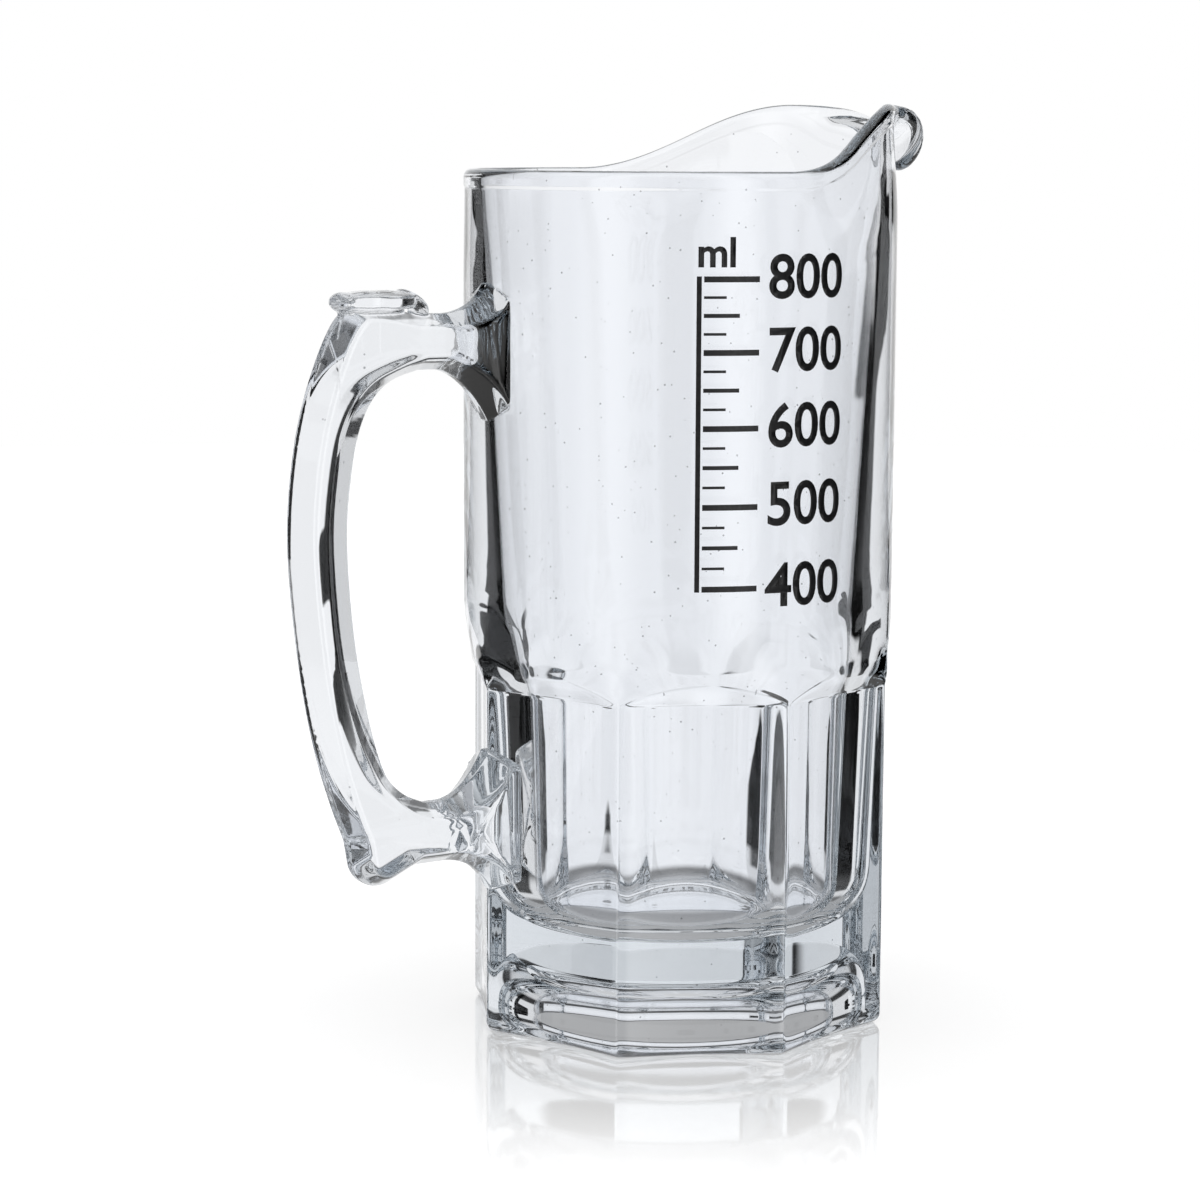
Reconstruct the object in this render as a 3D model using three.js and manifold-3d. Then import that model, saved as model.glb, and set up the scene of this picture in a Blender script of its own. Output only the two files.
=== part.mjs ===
// Glass pitcher: a pressed vessel with eight flutes and a rolled pouring lip,
// and a pressed handle that is stuck to it at an upper and a lower root.
// Millimetres, +Z up. The vessel axis is vertical, the lip points to +X and the handle to -X.

import * as THREE from 'three';
import { mergeVertices } from 'three/addons/utils/BufferGeometryUtils.js';
import Module from 'manifold-3d';

const wasm = await Module();
wasm.setup();

// Vessel, outside.
const BODY_RADIUS = 50;
const RIM_HEIGHT = 197.7;
const FOOT_ROUNDING = 1.6;
const FLUTE_COUNT = 8;
const FLUTE_DEPTH = 4.6;
const FLUTE_HOLLOW_RADIUS = 200;
const FLUTE_CREASE_HEIGHT = 80;
const FLUTE_SHOULDER_HEIGHT = 10;

// Vessel, inside and underneath.
const RIM_WALL = 3.8;
const CAVITY_DRAFT_ANGLE = 3;
const FLOOR_HEIGHT = 23.5;
const FLOOR_CORNER_RADIUS = 11;
const PUNT_RADIUS = 37;
const PUNT_HEIGHT = 14;
const PUNT_CORNER_RADIUS = 10;

// Rim wave and rolled lip. Angles are measured from the lip's own direction.
const SPOUT_RISE = 15.2;
const SPOUT_START_ANGLE = 90;
const SPOUT_FULL_ANGLE = 26;
const POURING_DIP = 4;
const POURING_DIP_ANGLE = 11;
const LIP_ROLL_RADIUS = 4.9;
const LIP_ROLL_ANGLE = 215;
const LIP_SPREAD_ANGLE = 14;
const LIP_PUSH = 3;
const FLANK_DRAW_IN = 3.6;
const FLANK_ANGLE = 56;
const FLANK_SPREAD_ANGLE = 22;
const BENT_HEIGHT = 24;
const RIM_EDGE = 4;
const RIM_ZONE = 56;

// Handle. Heights of the two arms are at their middle, reach is to the grip's outer edge.
const HANDLE_REACH = 98.7;
const GRIP_DEPTH = 13.6;
const HANDLE_WIDTH = 15;
const HANDLE_EDGE_FLAT = 2.4;
const HANDLE_BEVEL = 4;
const GRIP_MIDDLE_HEIGHT = 119;
const UPPER_ARM_HEIGHT = 159.7;
const UPPER_ARM_DEPTH = 12.4;
const LOWER_ARM_HEIGHT = 48.6;
const LOWER_ARM_DEPTH = 13.8;
const HEEL_DROP = 4.2;
const HEEL_RADIUS = 6.4;
const ROOT_FLARE = 6;
const ROOT_DEPTH_IN_WALL = 8;
const PAD_LENGTH = 19.6;
const PAD_WIDTH = 16;
const PAD_THICKNESS = 4.6;
const PAD_ROUNDING = 1.6;
const PAD_STEP = 5.4;
const PAD_SETBACK = 11;
const WELD_GAP = 0.3;

// How finely curves are cut up.
const AROUND = 72;
const FRONT_CROWDING = 0.5;

const rad = THREE.MathUtils.degToRad;
const clamp01 = (t) => Math.min(1, Math.max(0, t));
const ease = (t) => (1 - Math.cos(Math.PI * clamp01(t))) / 2;

// Turns a closed three.js geometry into a solid that can be cut and joined.
function solid(geometry) {
  geometry.deleteAttribute('normal');
  geometry.deleteAttribute('uv');
  const merged = mergeVertices(geometry, 1e-4);
  const index = merged.index.array;
  const kept = [];
  for (let i = 0; i < index.length; i += 3) {
    const [a, b, c] = [index[i], index[i + 1], index[i + 2]];
    if (a !== b && b !== c && c !== a) kept.push(a, b, c);
  }
  return new wasm.Manifold(new wasm.Mesh({
    numProp: 3,
    vertProperties: new Float32Array(merged.attributes.position.array),
    triVerts: new Uint32Array(kept),
  }));
}

function geometryOf(body) {
  const mesh = body.getMesh();
  const geometry = new THREE.BufferGeometry();
  geometry.setAttribute('position', new THREE.BufferAttribute(new Float32Array(mesh.vertProperties), 3));
  geometry.setIndex(new THREE.BufferAttribute(new Uint32Array(mesh.triVerts), 1));
  geometry.computeVertexNormals();
  return geometry;
}

// A lathe stands on Y in three.js; here it is stood on Z.
function turned(points, segments) {
  const geometry = new THREE.LatheGeometry(points.map(([r, z]) => new THREE.Vector2(r, z)), segments);
  return geometry.rotateX(Math.PI / 2);
}

// Points along a quarter-round or other arc of a circle in the profile plane.
function arc(r, z, radius, from, to, steps) {
  return Array.from({ length: steps + 1 }, (_, i) => {
    const a = rad(from + (to - from) * i / steps);
    return [r + radius * Math.cos(a), z + radius * Math.sin(a)];
  });
}

// The solid that cuts one flute: a very wide barrel beside the vessel, so the flute is slightly hollow.
// Its top leans away from the vessel and leaves the sloping shoulder.
// Its bottom swells for the foot's rounding.
// The clearance pulls the barrel back, which leaves room round the vessel in the handle's roots.
function fluteCutter(number, clearance) {
  const barrel = FLUTE_HOLLOW_RADIUS - clearance;
  const crease = FLUTE_CREASE_HEIGHT - clearance;
  const profile = [[0, -1 - clearance], [barrel + FOOT_ROUNDING, -1 - clearance]];
  profile.push([barrel + FOOT_ROUNDING, 0 - clearance]);
  profile.push([barrel, FOOT_ROUNDING - clearance], [barrel, crease]);
  const slope = FLUTE_DEPTH + clearance;
  for (const t of [0.55, 0.8, 0.95, 1.15]) {
    const lean = t < 1 ? t * 1.08 : t;
    profile.push([barrel - slope * lean, crease + FLUTE_SHOULDER_HEIGHT * t * (0.72 + 0.28 * t)]);
  }
  profile.push([0, profile.at(-1)[1]]);
  const geometry = turned(profile, 320);
  const away = BODY_RADIUS - FLUTE_DEPTH + FLUTE_HOLLOW_RADIUS;
  const angle = Math.PI * (2 * number + 1) / FLUTE_COUNT;
  geometry.translate(away * Math.cos(angle), away * Math.sin(angle), 0);
  return solid(geometry);
}

function cutFlutes(blank, clearance) {
  let body = blank;
  for (let n = 0; n < FLUTE_COUNT; n++) body = body.subtract(fluteCutter(n, clearance));
  return body;
}

// Inside radius of the wall: the cavity narrows all the way down from the rim,
// as the plunger that pressed it does.
function insideRadius(z) {
  const below = Math.max(0, RIM_HEIGHT - RIM_WALL / 2 - z);
  return BODY_RADIUS - RIM_WALL - Math.tan(rad(CAVITY_DRAFT_ANGLE)) * below;
}

// Height of the rim's crest over the flat rim, and how far the lip is rolled, at an angle from the lip.
function rimRise(degrees) {
  const climb = ease((SPOUT_START_ANGLE - degrees) / (SPOUT_START_ANGLE - SPOUT_FULL_ANGLE));
  return SPOUT_RISE * climb - POURING_DIP * Math.exp(-((degrees / POURING_DIP_ANGLE) ** 2));
}

function lipRoll(degrees) {
  return rad(LIP_ROLL_ANGLE) * Math.exp(-((degrees / LIP_SPREAD_ANGLE) ** 2));
}

// How far the wall is pushed out at the rim: out under the lip, in on both flanks beside it.
function rimPush(degrees) {
  const lip = Math.exp(-((degrees / LIP_SPREAD_ANGLE) ** 2));
  const flank = Math.exp(-(((degrees - FLANK_ANGLE) / FLANK_SPREAD_ANGLE) ** 2));
  return LIP_PUSH * lip - FLANK_DRAW_IN * flank;
}

// A point of the wall near the rim: share runs along the middle of the wall, from 0 at the start of the rim
// zone to 1 where the edge begins and on to 2 at the end of the lip's roll. Side is the distance from the
// middle of the wall, to which the inside adds the draft, and past is the distance beyond its end.
function rimPoint(share, side, past, degrees) {
  const zoneStart = RIM_HEIGHT - RIM_ZONE;
  const roll = lipRoll(degrees);
  const crest = RIM_HEIGHT + rimRise(degrees) - RIM_WALL / 2;
  const rollStart = crest - LIP_ROLL_RADIUS * Math.sin(Math.min(roll, Math.PI / 2));
  const straight = rollStart - zoneStart;
  const plain = straight - RIM_EDGE;
  const edge = RIM_EDGE + LIP_ROLL_RADIUS * roll;
  const along = share < 1 ? share * plain : plain + (share - 1) * edge;
  const bent = 1 - Math.max(0, straight - along) / BENT_HEIGHT;
  const middle = BODY_RADIUS - RIM_WALL / 2 + rimPush(degrees) * ease(bent);
  if (along <= straight) {
    const draft = side < 0 ? insideRadius(zoneStart + along) - insideRadius(RIM_HEIGHT) : 0;
    return [middle + side + draft, zoneStart + along + past];
  }
  const a = (along - straight) / LIP_ROLL_RADIUS;
  const r = middle + LIP_ROLL_RADIUS * (1 - Math.cos(a));
  const z = rollStart + LIP_ROLL_RADIUS * Math.sin(a);
  return [r + side * Math.cos(a) + past * Math.sin(a), z - side * Math.sin(a) + past * Math.cos(a)];
}

function makeVessel() {
  const half = RIM_WALL / 2;
  const draft = CAVITY_DRAFT_ANGLE;
  const corner = FLOOR_CORNER_RADIUS;
  const cornerTop = FLOOR_HEIGHT + corner * (1 - Math.sin(rad(draft)));
  const cornerMiddle = insideRadius(cornerTop) - corner * Math.cos(rad(draft));
  const recess = PUNT_CORNER_RADIUS;

  // Fixed points are a radius and a height, rim points are functions of the angle from the lip.
  const profile = [[0, PUNT_HEIGHT]];
  profile.push(...arc(PUNT_RADIUS - recess, PUNT_HEIGHT - recess, recess, 90, 0, 5));
  profile.push([PUNT_RADIUS, 0]);
  profile.push([BODY_RADIUS - FOOT_ROUNDING, 0]);
  profile.push(...arc(BODY_RADIUS - FOOT_ROUNDING, FOOT_ROUNDING, FOOT_ROUNDING, -45, 0, 1));
  profile.push([BODY_RADIUS, FLUTE_CREASE_HEIGHT + 1.4 * FLUTE_SHOULDER_HEIGHT]);
  const shares = [0, 0.58, 0.74, 0.88, 1, 1.16, 1.28, 1.4, 1.52, 1.64, 1.76, 1.88, 2];
  for (const share of shares) profile.push((d) => rimPoint(share, half, 0, d));
  for (const nose of [30, 60, 90, 120, 150]) {
    const side = half * Math.cos(rad(nose));
    const past = half * Math.sin(rad(nose));
    profile.push((d) => rimPoint(2, side, past, d));
  }
  for (const share of shares.toReversed()) profile.push((d) => rimPoint(share, -half, 0, d));
  profile.push(...arc(cornerMiddle, FLOOR_HEIGHT + corner, corner, -draft, -90, 6));
  profile.push([0, FLOOR_HEIGHT]);

  // The lathe gives the skin; each of its points is then put where the profile wants it at its angle.
  const start = profile.map((p) => (typeof p === 'function' ? p(180) : p));
  const geometry = turned(start, AROUND);
  const position = geometry.attributes.position;
  for (let i = 0; i <= AROUND; i++) {
    const turn = 2 * Math.PI * (i % AROUND) / AROUND;
    const angle = turn - FRONT_CROWDING * Math.sin(turn);
    const degrees = THREE.MathUtils.radToDeg(Math.PI - Math.abs(angle - Math.PI));
    profile.forEach((p, j) => {
      const [r, z] = typeof p === 'function' ? p(degrees) : p;
      position.setXYZ(i * profile.length + j, r * Math.cos(angle), r * Math.sin(angle), z);
    });
  }
  return cutFlutes(solid(geometry), 0);
}

// The vessel's outer form, grown by the weld gap, that the handle's roots are cut to.
function vesselEnvelope() {
  const r = BODY_RADIUS + WELD_GAP;
  const top = RIM_HEIGHT + SPOUT_RISE;
  const blank = turned([[0, -1], [r, -1], [r, top], [0, top]], 2 * AROUND);
  return cutFlutes(solid(blank), WELD_GAP);
}

// Side view of the handle: x to the lip, y up. It starts in the wall at the upper root's top.
// The bends are given as shares of the free lengths between the grip, the roots and the two arms.
function handleOutline() {
  const wall = -BODY_RADIUS;
  const hidden = wall + ROOT_DEPTH_IN_WALL;
  const top = UPPER_ARM_HEIGHT + UPPER_ARM_DEPTH / 2;
  const under = UPPER_ARM_HEIGHT - UPPER_ARM_DEPTH / 2;
  const rest = LOWER_ARM_HEIGHT + LOWER_ARM_DEPTH / 2;
  const below = LOWER_ARM_HEIGHT - LOWER_ARM_DEPTH / 2;
  const flare = ROOT_FLARE;
  const outer = -HANDLE_REACH;
  const inner = outer + GRIP_DEPTH;
  const mid = GRIP_MIDDLE_HEIGHT;
  const outerRun = wall - flare * 1.9 - outer;
  const innerRun = wall - flare * 2.2 - inner;
  const heel = outer + 0.547 * outerRun;
  const out = (across, up, from, to) => [outer + across * outerRun, from + up * (to - from)];
  const inside = (across, up, from, to) => [inner + across * innerRun, from + up * (to - from)];
  const shape = new THREE.Shape();
  const through = (list, count) => {
    const run = new THREE.SplineCurve(list.map(([x, y]) => new THREE.Vector2(x, y)));
    for (const p of run.getSpacedPoints(count)) shape.lineTo(p.x, p.y);
  };
  shape.moveTo(hidden, top + flare * 1.4);
  shape.lineTo(wall - 0.5, top + flare * 1.1);
  shape.quadraticCurveTo(wall - flare * 0.6, top + 0.4, wall - flare * 1.9, top);
  through([
    out(0.777, 1.006, mid, top), out(0.536, 1.043, mid, top), out(0.375, 1.026, mid, top),
    out(0.257, 0.91, mid, top), out(0.123, 0.64, mid, top), out(0.0375, 0.341, mid, top),
    [outer, mid], out(0.0214, 0.207, mid, below), out(0.0804, 0.44, mid, below),
    out(0.166, 0.647, mid, below), out(0.263, 0.802, mid, below),
    [heel - 1.125 * HEEL_RADIUS, below + HEEL_RADIUS],
  ], 30);
  shape.absarc(heel, below + HEEL_RADIUS - HEEL_DROP, HEEL_RADIUS, rad(194), rad(292), false);
  shape.lineTo(heel + 1.5 * HEEL_RADIUS, below - 0.2);
  shape.lineTo(wall - flare * 1.8, below);
  shape.quadraticCurveTo(wall - flare * 0.5, below - 0.6, wall + 0.3, below - flare * 1.35);
  shape.lineTo(hidden, below - flare * 1.7);
  shape.lineTo(hidden, rest + flare * 2);
  shape.lineTo(wall - 0.6, rest + flare * 1.8);
  shape.quadraticCurveTo(wall - flare * 0.8, rest + flare * 0.25, wall - flare * 2, rest + 0.1);
  through([
    inside(0.863, 1, mid, rest), inside(0.621, 0.962, mid, rest), inside(0.429, 0.893, mid, rest),
    inside(0.297, 0.772, mid, rest), inside(0.178, 0.598, mid, rest), inside(0.082, 0.409, mid, rest),
    inside(0.018, 0.189, mid, rest), [inner, mid], inside(0.046, 0.319, mid, under),
    inside(0.128, 0.597, mid, under), inside(0.274, 0.806, mid, under), inside(0.493, 0.936, mid, under),
    inside(0.795, 1, mid, under),
  ], 26);
  shape.lineTo(wall - flare * 2.2, under);
  shape.quadraticCurveTo(wall - flare * 0.9, under - flare * 0.3, wall - 0.6, under - flare * 2);
  shape.lineTo(hidden, under - flare * 2.3);
  shape.closePath();
  return shape;
}

function makeHandle() {
  const bar = new THREE.ExtrudeGeometry(handleOutline(), {
    depth: HANDLE_EDGE_FLAT,
    bevelEnabled: true,
    bevelThickness: (HANDLE_WIDTH - HANDLE_EDGE_FLAT) / 2,
    bevelSize: HANDLE_BEVEL,
    bevelOffset: -HANDLE_BEVEL,
    bevelSegments: 2,
    curveSegments: 5,
  });
  bar.rotateX(Math.PI / 2);
  bar.translate(0, HANDLE_EDGE_FLAT / 2, 0);

  // Thumb rest: an oval pad on top of the upper bend.
  const oval = new THREE.Shape();
  oval.absellipse(0, 0, PAD_LENGTH / 2, PAD_WIDTH / 2, 0, 2 * Math.PI);
  const pad = new THREE.ExtrudeGeometry(oval, {
    depth: PAD_THICKNESS - 2 * PAD_ROUNDING,
    bevelEnabled: true,
    bevelThickness: PAD_ROUNDING,
    bevelSize: PAD_ROUNDING,
    bevelOffset: -PAD_ROUNDING,
    bevelSegments: 2,
    curveSegments: 14,
  });
  const padTop = UPPER_ARM_HEIGHT + UPPER_ARM_DEPTH / 2 + PAD_STEP;
  pad.translate(-HANDLE_REACH + PAD_SETBACK + PAD_LENGTH / 2, 0, padTop - PAD_THICKNESS + PAD_ROUNDING);
  return solid(bar).add(solid(pad)).subtract(vesselEnvelope());
}

const glass = () => new THREE.MeshStandardMaterial({
  color: 0xdfe3e6,
  roughness: 0.04,
  metalness: 0,
  transparent: true,
  opacity: 0.35,
});

const vessel = new THREE.Mesh(geometryOf(makeVessel()), glass());
vessel.name = 'vessel';
const handle = new THREE.Mesh(geometryOf(makeHandle()), glass());
handle.name = 'handle';

// The origin is under the middle of the whole object, so the vessel axis stands towards the lip.
const lipReach = BODY_RADIUS + LIP_PUSH + 2 * LIP_ROLL_RADIUS;
const pitcher = new THREE.Group();
pitcher.add(vessel, handle);
pitcher.position.x = (HANDLE_REACH - lipReach) / 2;

export default pitcher;
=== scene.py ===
"""Looks of the clear pressed-glass pitcher: vessel, handle, measuring scale and the white table below."""

import math

import bpy
import numpy as np
from mathutils import Matrix, Vector, noise
from mathutils.bvhtree import BVHTree


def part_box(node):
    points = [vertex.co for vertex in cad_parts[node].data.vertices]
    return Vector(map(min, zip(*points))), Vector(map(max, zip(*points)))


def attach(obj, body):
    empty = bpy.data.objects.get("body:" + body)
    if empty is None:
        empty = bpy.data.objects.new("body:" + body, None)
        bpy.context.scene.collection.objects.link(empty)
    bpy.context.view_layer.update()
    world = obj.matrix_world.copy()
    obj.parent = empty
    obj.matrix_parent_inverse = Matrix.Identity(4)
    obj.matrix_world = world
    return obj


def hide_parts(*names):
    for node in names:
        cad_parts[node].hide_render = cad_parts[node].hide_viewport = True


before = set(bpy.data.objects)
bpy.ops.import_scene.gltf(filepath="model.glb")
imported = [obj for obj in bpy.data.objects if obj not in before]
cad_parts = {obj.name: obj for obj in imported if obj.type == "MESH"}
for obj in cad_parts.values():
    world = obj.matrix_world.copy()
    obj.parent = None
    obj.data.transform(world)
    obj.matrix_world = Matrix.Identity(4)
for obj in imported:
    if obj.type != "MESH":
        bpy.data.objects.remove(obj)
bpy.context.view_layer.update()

MM = 0.001

# Vessel, in millimetres and degrees. Angles run round the vessel from the pouring lip.
BODY_RADIUS = 50
RIM_HEIGHT = 197.7
FOOT_ROUNDING = 2.2
FLUTE_COUNT = 8
FLUTE_DEPTH = 4.6
FLUTE_HOLLOW_RADIUS = 200
FLUTE_CREASE_HEIGHT = 80
FLUTE_SHOULDER_HEIGHT = 10
FLUTE_END_HEIGHT = FLUTE_CREASE_HEIGHT + 1.6 * FLUTE_SHOULDER_HEIGHT
SHOULDER_BEND = 0.28
SHOULDER_LEAN = 1.06
SHOULDER_SOFTNESS = 3.4
SHOULDER_SOFT_FROM = FLUTE_CREASE_HEIGHT + 1
SHOULDER_SOFT_RUN = 7
RIDGE_SOFTNESS = 1.1
RIM_WALL = 3.8
CAVITY_DRAFT_ANGLE = 3
FLOOR_HEIGHT = 23.5
FLOOR_CORNER_RADIUS = 11
PUNT_RADIUS = 37
PUNT_HEIGHT = 14
PUNT_CORNER = 10
SPOUT_RISE = 15.2
SPOUT_START_ANGLE = 90
SPOUT_FULL_ANGLE = 26
POURING_DIP = 4
POURING_DIP_ANGLE = 11
LIP_ROLL_RADIUS = 4.9
LIP_ROLL_ANGLE = 215
LIP_SPREAD_ANGLE = 15.5
LIP_PUSH = 3
FLANK_DRAW_IN = 3.6
FLANK_ANGLE = 56
FLANK_SPREAD_ANGLE = 22
BENT_HEIGHT = 24
RIM_ZONE = 56
RIM_EDGE = 4
RIM_BEAD = 0.25
RIM_BEAD_HEIGHT = 2.6
RIM_BEAD_FADE = 1.2
# Steps of the mesh round the wall, and how strongly they crowd at the ridges between the flutes.
AROUND = 288
RIDGE_CROWDING = 0.6

# Handle, in millimetres from the vessel's axis.
HANDLE_REACH = 98.7
HANDLE_WIDTH = 15
HANDLE_EDGE_FLAT = 2.4
HANDLE_BEVEL = 3.9
# Steps of the bevel: share of its width and share of its rise.
BEVEL_STEPS = [(0.7, 0.9), (0.12, 0.07), (0.18, 0.03)]
FINGER_BEVEL_EXTRA = 4.2
FINGER_BEVEL_FROM = 73
FINGER_BEVEL_RUN = 11
FINGER_GAP_MIDDLE = BODY_RADIUS + 22
GRIP_DEPTH = 13.6
GRIP_MIDDLE_HEIGHT = 119
UPPER_ARM_HEIGHT = 159.7
UPPER_ARM_DEPTH = 12.4
LOWER_ARM_HEIGHT = 48.6
LOWER_ARM_DEPTH = 13.8
HEEL_PLACE = 0.547
HEEL_DROP = 4.2
HEEL_RADIUS = 6.4
ROOT_FLARE = 6
ROOT_WIDENING = 0.32
ROOT_WIDENING_RUN = 6
ROOT_DEPTH_IN_WALL = 8
WELD_GAP = 0.03
WELD_REACH = 9
PAD_LENGTH = 19.6
PAD_WIDTH = 16
PAD_THICKNESS = 4.6
PAD_STEP = 5.4
PAD_SETBACK = 11
PAD_SQUARENESS = 0.22
PAD_UNEVENNESS = 0.35
PAD_RIPPLE_SIZE = 4.5
PAD_ROLL_HALF = (2.3, 5.6, 2.3)
PAD_CURL_HALF = (4.2, 5.2, 1.7)
PAD_CURL_TURN = 38
# Faint lines that the mould's seams leave: place along X and lowest height.
SEAM_LINES = [(-89.5, 148), (-79.8, 158)]
GLASS_GRAIN = 0.42

# Measuring scale, in millilitres, and in millimetres along the wall.
SCALE_FROM = 400
SCALE_TO = 800
SCALE_STEP = 25
SCALE_ANGLE = -90
SCALE_LEFT = -21
SCALE_WIDTH = 44
# Length and thickness of the lines at the hundreds, at the fifties and between them.
HUNDRED_LINE = (12.5, 1.3)
FIFTY_LINE = (8, 0.9)
SHORT_LINE = (5, 0.6)
SPINE_LEFT = 1.6
SPINE_RIGHT = 0.5
NUMBER_OFFSET = 14.5
NUMBER_SIZE = 13.5
NUMBER_WEIGHT = 0.22
UNIT_SIZE = 9
UNIT_RISE = 5.5
PRINT_STRIP = 1.2
PRINT_FILM = 0.05
PRINT_GAP = 0.02

VESSEL_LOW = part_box("vessel")[0]
AXIS_X = VESSEL_LOW[0] / MM + BODY_RADIUS


def ease(t):
    """A smooth step from 0 to 1."""
    return (1 - np.cos(np.pi * np.clip(t, 0, 1))) / 2


def soft_min(a, b, softness):
    """The smaller of two radii, with the crease between them rounded off."""
    near = np.maximum(softness - np.abs(a - b), 0) / softness
    return np.minimum(a, b) - near * near * softness / 4


# Form of the vessel

def outer_radius(angle, z):
    """Outside of the wall below the rim: a round body with shallow flutes that end in sloping shoulders."""
    sector = 360 / FLUTE_COUNT
    off_centre = np.radians(np.mod(angle, sector) - sector / 2)
    climb = np.maximum(z - FLUTE_CREASE_HEIGHT, 0) / FLUTE_SHOULDER_HEIGHT
    slope = 1 - SHOULDER_BEND
    lean = (np.sqrt(slope ** 2 + 4 * SHOULDER_BEND * climb) - slope) / (2 * SHOULDER_BEND)
    barrel = FLUTE_HOLLOW_RADIUS - FLUTE_DEPTH * SHOULDER_LEAN * lean
    away = BODY_RADIUS - FLUTE_DEPTH + FLUTE_HOLLOW_RADIUS
    half_chord = np.clip(barrel ** 2 - (away * np.sin(off_centre)) ** 2, 0, None)
    fluted = away * np.cos(off_centre) - np.sqrt(half_chord)
    in_flute = (half_chord > 0) & (z <= FLUTE_END_HEIGHT)
    fluted = np.where(in_flute, fluted, BODY_RADIUS + FLUTE_DEPTH)
    softness = RIDGE_SOFTNESS + SHOULDER_SOFTNESS * ease((z - SHOULDER_SOFT_FROM) / SHOULDER_SOFT_RUN)
    return soft_min(fluted, np.full_like(fluted, BODY_RADIUS), softness)


def inside_radius(z):
    """Inside of the wall: the cavity narrows all the way down, as the plunger that pressed it does."""
    below = np.maximum(RIM_HEIGHT - RIM_WALL / 2 - z, 0)
    return BODY_RADIUS - RIM_WALL - math.tan(math.radians(CAVITY_DRAFT_ANGLE)) * below


def floor_corner():
    """Height where the rounded corner of the inside floor ends, and the radius its middle stands on."""
    draft = math.radians(CAVITY_DRAFT_ANGLE)
    top = FLOOR_HEIGHT + FLOOR_CORNER_RADIUS * (1 - math.sin(draft))
    return top, inside_radius(top) - FLOOR_CORNER_RADIUS * math.cos(draft)


def fill_height(millilitres):
    """Height of the drink's surface when the cavity holds so much."""
    top, middle = floor_corner()
    z = np.linspace(FLOOR_HEIGHT, RIM_HEIGHT, 2000)
    up = np.clip(FLOOR_HEIGHT + FLOOR_CORNER_RADIUS - z, 0, FLOOR_CORNER_RADIUS)
    r = np.where(z < top, middle + np.sqrt(FLOOR_CORNER_RADIUS ** 2 - up ** 2), inside_radius(z))
    slices = np.pi * (r[1:] ** 2 + r[:-1] ** 2) / 2 * np.diff(z) / 1000
    return float(np.interp(millilitres, np.cumsum(slices), z[1:]))


def rim_rise(angle):
    """How far the rim climbs above its level part: up to the spout, with a dip in the pouring lip."""
    climb = ease((SPOUT_START_ANGLE - angle) / (SPOUT_START_ANGLE - SPOUT_FULL_ANGLE))
    return SPOUT_RISE * climb - POURING_DIP * np.exp(-((angle / POURING_DIP_ANGLE) ** 2))


def rim_push(angle):
    """How far the rim leans out at the lip and in at the spout's flanks."""
    lip = np.exp(-((angle / LIP_SPREAD_ANGLE) ** 2))
    flank = np.exp(-(((angle - FLANK_ANGLE) / FLANK_SPREAD_ANGLE) ** 2))
    return LIP_PUSH * lip - FLANK_DRAW_IN * flank


def rim_point(share, side, past, angle):
    """Radius and height of a point of the wall near the rim. Share runs up the middle of the wall: 1 is
    where the edge begins and 2 is the end of the lip's roll. Side lies across the wall, and past lies
    beyond its end."""
    zone_start = RIM_HEIGHT - RIM_ZONE
    roll = math.radians(LIP_ROLL_ANGLE) * np.exp(-((angle / LIP_SPREAD_ANGLE) ** 2))
    crest = RIM_HEIGHT + rim_rise(angle) - RIM_WALL / 2
    roll_start = crest - LIP_ROLL_RADIUS * np.sin(np.minimum(roll, math.pi / 2))
    straight = roll_start - zone_start
    plain = straight - RIM_EDGE
    edge = RIM_EDGE + LIP_ROLL_RADIUS * roll
    along = share * plain if share < 1 else plain + (share - 1) * edge
    level = np.minimum(along, straight)
    bent = ease(1 - (straight - level) / BENT_HEIGHT)
    if side < 0:
        side = side + inside_radius(zone_start + level) - inside_radius(RIM_HEIGHT)
    else:
        bead = ease((along - straight + RIM_BEAD_HEIGHT) / RIM_BEAD_FADE)
        side = side - RIM_BEAD * (1 - bead) * bent
    turn = np.maximum(along - straight, 0) / LIP_ROLL_RADIUS
    middle = BODY_RADIUS - RIM_WALL / 2 + rim_push(angle) * bent
    r = middle + LIP_ROLL_RADIUS * (1 - np.cos(turn))
    z = zone_start + level + LIP_ROLL_RADIUS * np.sin(turn)
    return r + side * np.cos(turn) + past * np.sin(turn), z - side * np.sin(turn) + past * np.cos(turn)


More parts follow.
